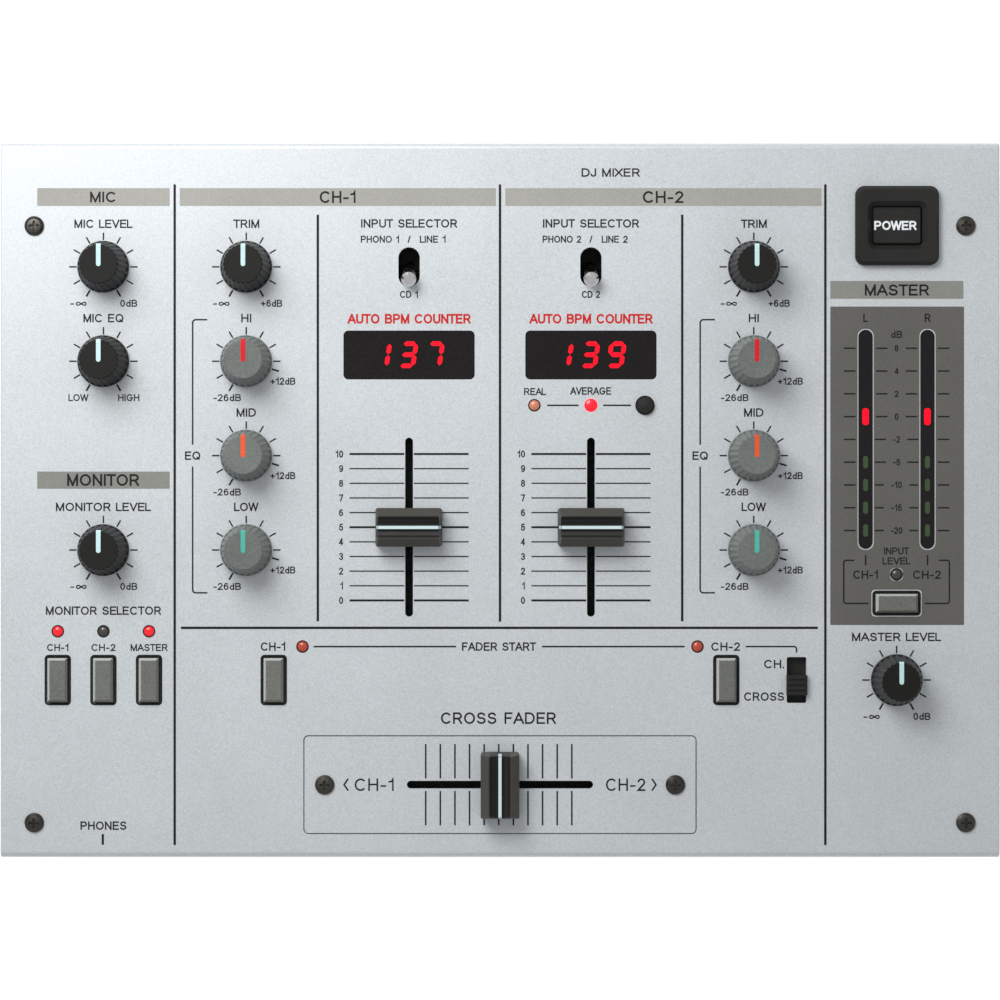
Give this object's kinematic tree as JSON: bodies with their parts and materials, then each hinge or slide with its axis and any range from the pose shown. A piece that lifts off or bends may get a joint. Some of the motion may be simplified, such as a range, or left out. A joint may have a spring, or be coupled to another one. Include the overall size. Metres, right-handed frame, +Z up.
{
  "type": "dj mixer",
  "caption": "Compact two-channel DJ mixer: rotary tone and level knobs, channel faders, crossfader, toggles, push buttons, tempo displays and level meters on a silver panel over a dark case.",
  "frame": {"origin": "on the table, under the middle of the top panel", "axes": "+Z up, +Y to the rear connectors, +X to the right, towards the level meters"},
  "size_m": [0.32, 0.229, 0.107],
  "materials": {
    "silver_paint": "satin metallic",
    "dark_paint": "fine matt texture",
    "black_knob": "matt",
    "grey_knob": "matt",
    "black_plastic": "satin",
    "grey_button": "satin",
    "steel": "bright",
    "bright_metal": "plated",
    "bright_lever": "satin plated",
    "black_screw": "black oxide",
    "smoked_window": "polished",
    "meter_lamp": "diffused",
    "red_lamp": "diffused",
    "foot_rubber": "matt",
    "circuit_board": "satin",
    "white_plastic": "satin"
  },
  "bodies": {
    "chassis": {"top_panel": "silver_paint", "crossfader_plate": "silver_paint", "bottom_case": "dark_paint", "front_panel": "dark_paint", "rear_panel": "dark_paint", "feet": "foot_rubber", "panel_screws": "black_screw", "case_screws": "black_screw", "power_bezel": "black_plastic", "display_windows": "smoked_window", "display_modules": "black_plastic", "meter_leds": "meter_lamp", "indicator_leds": "red_lamp", "pot_bodies": "steel", "pot_nuts": "bright_metal", "fader_frames": "steel", "fader_rails": "bright_metal", "selector_housings": "black_plastic", "switch_housings": "black_plastic", "control_board": "circuit_board", "power_board": "circuit_board", "transformer": "steel", "phono_housings": "black_plastic", "phono_shells": "bright_metal", "phono_inserts": "white_plastic", "stereo_jacks": "black_plastic", "control_jacks": "black_plastic", "mains_inlet": "black_plastic"},
    "mic_level_knob": {"mic_level_knob": "black_knob"},
    "mic_eq_knob": {"mic_eq_knob": "black_knob"},
    "monitor_level_knob": {"monitor_level_knob": "black_knob"},
    "master_level_knob": {"master_level_knob": "black_knob"},
    "trim_knob_1": {"trim_knob_1": "black_knob"},
    "high_knob_1": {"high_knob_1": "grey_knob"},
    "mid_knob_1": {"mid_knob_1": "grey_knob"},
    "low_knob_1": {"low_knob_1": "grey_knob"},
    "trim_knob_2": {"trim_knob_2": "black_knob"},
    "high_knob_2": {"high_knob_2": "grey_knob"},
    "mid_knob_2": {"mid_knob_2": "grey_knob"},
    "low_knob_2": {"low_knob_2": "grey_knob"},
    "channel_fader_1": {"channel_fader_cap_1": "black_plastic", "channel_fader_carriage_1": "steel"},
    "channel_fader_2": {"channel_fader_cap_2": "black_plastic", "channel_fader_carriage_2": "steel"},
    "crossfader": {"crossfader_cap": "black_plastic", "crossfader_carriage": "steel"},
    "input_selector_1": {"input_selector_lever_1": "bright_lever"},
    "input_selector_2": {"input_selector_lever_2": "bright_lever"},
    "monitor_button_1": {"monitor_button_1": "grey_button"},
    "monitor_button_2": {"monitor_button_2": "grey_button"},
    "monitor_button_master": {"monitor_button_master": "grey_button"},
    "fader_start_button_1": {"fader_start_button_1": "grey_button"},
    "fader_start_button_2": {"fader_start_button_2": "grey_button"},
    "input_level_button": {"input_level_button": "grey_button"},
    "tempo_mode_button": {"tempo_mode_button": "black_plastic"},
    "power_button": {"power_button": "black_plastic"},
    "fader_assign_slider": {"fader_assign_slider": "black_plastic"},
    "phono_line_slider_1": {"phono_line_slider_1": "black_plastic"},
    "phono_line_slider_2": {"phono_line_slider_2": "black_plastic"},
    "ground_thumbscrew": {"ground_thumbscrew": "bright_metal"}
  },
  "joints": [
    {"name": "mic_level_knob_turn", "type": "hinge", "parent": "chassis", "child": "mic_level_knob", "pos_m": [-0.1269, 0.0746, 0.092], "axis": [0, 0, -1], "range_deg": [-150, 150]},
    {"name": "mic_eq_knob_turn", "type": "hinge", "parent": "chassis", "child": "mic_eq_knob", "pos_m": [-0.1269, 0.0444, 0.092], "axis": [0, 0, -1], "range_deg": [-150, 150]},
    {"name": "monitor_level_knob_turn", "type": "hinge", "parent": "chassis", "child": "monitor_level_knob", "pos_m": [-0.1269, -0.016, 0.092], "axis": [0, 0, -1], "range_deg": [-150, 150]},
    {"name": "master_level_knob_turn", "type": "hinge", "parent": "chassis", "child": "master_level_knob", "pos_m": [0.1269, -0.0576, 0.092], "axis": [0, 0, -1], "range_deg": [-150, 150]},
    {"name": "trim_knob_1_turn", "type": "hinge", "parent": "chassis", "child": "trim_knob_1", "pos_m": [-0.0812, 0.0746, 0.092], "axis": [0, 0, -1], "range_deg": [-150, 150]},
    {"name": "high_knob_1_turn", "type": "hinge", "parent": "chassis", "child": "high_knob_1", "pos_m": [-0.0812, 0.0444, 0.092], "axis": [0, 0, -1], "range_deg": [-150, 107]},
    {"name": "mid_knob_1_turn", "type": "hinge", "parent": "chassis", "child": "mid_knob_1", "pos_m": [-0.0812, 0.0142, 0.092], "axis": [0, 0, -1], "range_deg": [-150, 107]},
    {"name": "low_knob_1_turn", "type": "hinge", "parent": "chassis", "child": "low_knob_1", "pos_m": [-0.0812, -0.016, 0.092], "axis": [0, 0, -1], "range_deg": [-150, 107]},
    {"name": "trim_knob_2_turn", "type": "hinge", "parent": "chassis", "child": "trim_knob_2", "pos_m": [0.0812, 0.0746, 0.092], "axis": [0, 0, -1], "range_deg": [-150, 150]},
    {"name": "high_knob_2_turn", "type": "hinge", "parent": "chassis", "child": "high_knob_2", "pos_m": [0.0812, 0.0444, 0.092], "axis": [0, 0, -1], "range_deg": [-150, 107]},
    {"name": "mid_knob_2_turn", "type": "hinge", "parent": "chassis", "child": "mid_knob_2", "pos_m": [0.0812, 0.0142, 0.092], "axis": [0, 0, -1], "range_deg": [-150, 107]},
    {"name": "low_knob_2_turn", "type": "hinge", "parent": "chassis", "child": "low_knob_2", "pos_m": [0.0812, -0.016, 0.092], "axis": [0, 0, -1], "range_deg": [-150, 107]},
    {"name": "channel_fader_1_slide", "type": "slide", "parent": "chassis", "child": "channel_fader_1", "axis": [0, 1, 0], "range_m": [-0.0234, 0.0234]},
    {"name": "channel_fader_2_slide", "type": "slide", "parent": "chassis", "child": "channel_fader_2", "axis": [0, 1, 0], "range_m": [-0.0234, 0.0234]},
    {"name": "crossfader_slide", "type": "slide", "parent": "chassis", "child": "crossfader", "axis": [1, 0, 0], "range_m": [-0.0234, 0.0234]},
    {"name": "input_selector_1_throw", "type": "hinge", "parent": "chassis", "child": "input_selector_1", "pos_m": [-0.0291, 0.0746, 0.084], "axis": [-1, 0, 0], "range_deg": [0, 36]},
    {"name": "input_selector_2_throw", "type": "hinge", "parent": "chassis", "child": "input_selector_2", "pos_m": [0.0291, 0.0746, 0.084], "axis": [-1, 0, 0], "range_deg": [0, 36]},
    {"name": "monitor_button_1_press", "type": "slide", "parent": "chassis", "child": "monitor_button_1", "axis": [0, 0, -1], "range_m": [0, 0.001], "stiffness_N_per_m": 300, "springref_m": -0.0005},
    {"name": "monitor_button_2_press", "type": "slide", "parent": "chassis", "child": "monitor_button_2", "axis": [0, 0, -1], "range_m": [0, 0.001], "stiffness_N_per_m": 300, "springref_m": -0.0005},
    {"name": "monitor_button_master_press", "type": "slide", "parent": "chassis", "child": "monitor_button_master", "axis": [0, 0, -1], "range_m": [0, 0.001], "stiffness_N_per_m": 300, "springref_m": -0.0005},
    {"name": "fader_start_button_1_press", "type": "slide", "parent": "chassis", "child": "fader_start_button_1", "axis": [0, 0, -1], "range_m": [0, 0.001], "stiffness_N_per_m": 300, "springref_m": -0.0005},
    {"name": "fader_start_button_2_press", "type": "slide", "parent": "chassis", "child": "fader_start_button_2", "axis": [0, 0, -1], "range_m": [0, 0.001], "stiffness_N_per_m": 300, "springref_m": -0.0005},
    {"name": "input_level_button_press", "type": "slide", "parent": "chassis", "child": "input_level_button", "axis": [0, 0, -1], "range_m": [0, 0.001], "stiffness_N_per_m": 300, "springref_m": -0.0005},
    {"name": "tempo_mode_button_press", "type": "slide", "parent": "chassis", "child": "tempo_mode_button", "axis": [0, 0, -1], "range_m": [0, 0.0008], "stiffness_N_per_m": 300, "springref_m": -0.0005},
    {"name": "power_button_latch", "type": "slide", "parent": "chassis", "child": "power_button", "axis": [0, 0, 1], "range_m": [-0.0005, 0.002]},
    {"name": "fader_assign_slide", "type": "slide", "parent": "chassis", "child": "fader_assign_slider", "axis": [0, 1, 0], "range_m": [0, 0.0032]},
    {"name": "phono_line_1_slide", "type": "slide", "parent": "chassis", "child": "phono_line_slider_1", "axis": [1, 0, 0], "range_m": [0, 0.0032]},
    {"name": "phono_line_2_slide", "type": "slide", "parent": "chassis", "child": "phono_line_slider_2", "axis": [1, 0, 0], "range_m": [0, 0.0032]},
    {"name": "ground_thumbscrew_turn", "type": "hinge", "parent": "chassis", "child": "ground_thumbscrew", "pos_m": [0, 0.1075, 0.047], "axis": [0, 1, 0], "continuous": true}
  ]
}
